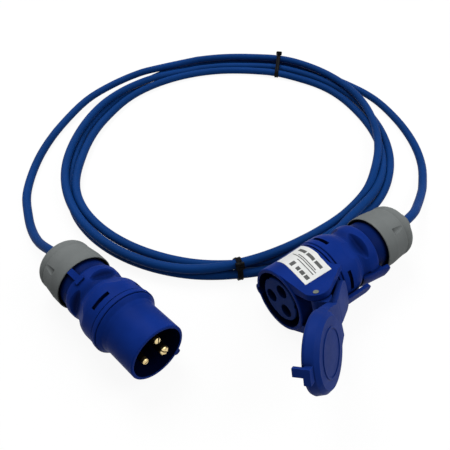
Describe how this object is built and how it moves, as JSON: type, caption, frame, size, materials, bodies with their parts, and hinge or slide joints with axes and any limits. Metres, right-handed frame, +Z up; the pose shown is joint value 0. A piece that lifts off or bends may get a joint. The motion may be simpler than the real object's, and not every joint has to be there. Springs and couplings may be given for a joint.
{
  "type": "extension cable",
  "caption": "Round pin-and-sleeve plug and matching coupler with a hinged lid, joined by a coiled flexible cable held with tie straps, for extending a power supply",
  "frame": {"origin": "On the floor, below the middle of the box round the plug and the coupler without the cable", "axes": "+X from the coupler's open rim back along its axis, +Y from the plug's open rim back towards its gland nut, +Z up from the floor"},
  "size_m": [0.4306, 0.4563, 0.0807],
  "materials": {
    "housing_blue": "satin",
    "lid_blue": "satin",
    "carrier_black": "matte",
    "gland_grey": "matte",
    "contact_brass": "turned",
    "screw_steel": "plated",
    "core_insulation": "matte",
    "seal_rubber": "matte",
    "cable_jacket": "satin",
    "tie_black": "satin"
  },
  "bodies": {
    "lead_set": {"plug_body": "housing_blue", "plug_carrier": "carrier_black", "plug_pin_line": "contact_brass", "plug_pin_neutral": "contact_brass", "plug_pin_earth": "contact_brass", "plug_terminal_screws": "screw_steel", "plug_cores": "core_insulation", "plug_rear_housing": "housing_blue", "plug_seal": "seal_rubber", "plug_clamp_ring": "gland_grey", "plug_gland_nut": "gland_grey", "coupler_body": "housing_blue", "coupler_carrier": "housing_blue", "coupler_sleeve_line": "contact_brass", "coupler_sleeve_neutral": "contact_brass", "coupler_sleeve_earth": "contact_brass", "coupler_terminal_screws": "screw_steel", "coupler_cores": "core_insulation", "coupler_rear_housing": "housing_blue", "coupler_seal": "seal_rubber", "coupler_clamp_ring": "gland_grey", "coupler_gland_nut": "gland_grey", "hinge_pin": "screw_steel", "plug_lead": "cable_jacket", "coupler_lead": "cable_jacket", "cable_coil": "cable_jacket", "tie_rear": "tie_black", "tie_front": "tie_black"},
    "lid": {"coupler_lid": "lid_blue", "lid_gasket": "seal_rubber"}
  },
  "joints": [
    {"name": "lid_hinge", "type": "hinge", "parent": "lead_set", "child": "lid", "pos_m": [0.00634, -0.06595, 0.04342], "axis": [0, -0.4321, -0.9018], "range_deg": [0, 121]}
  ]
}
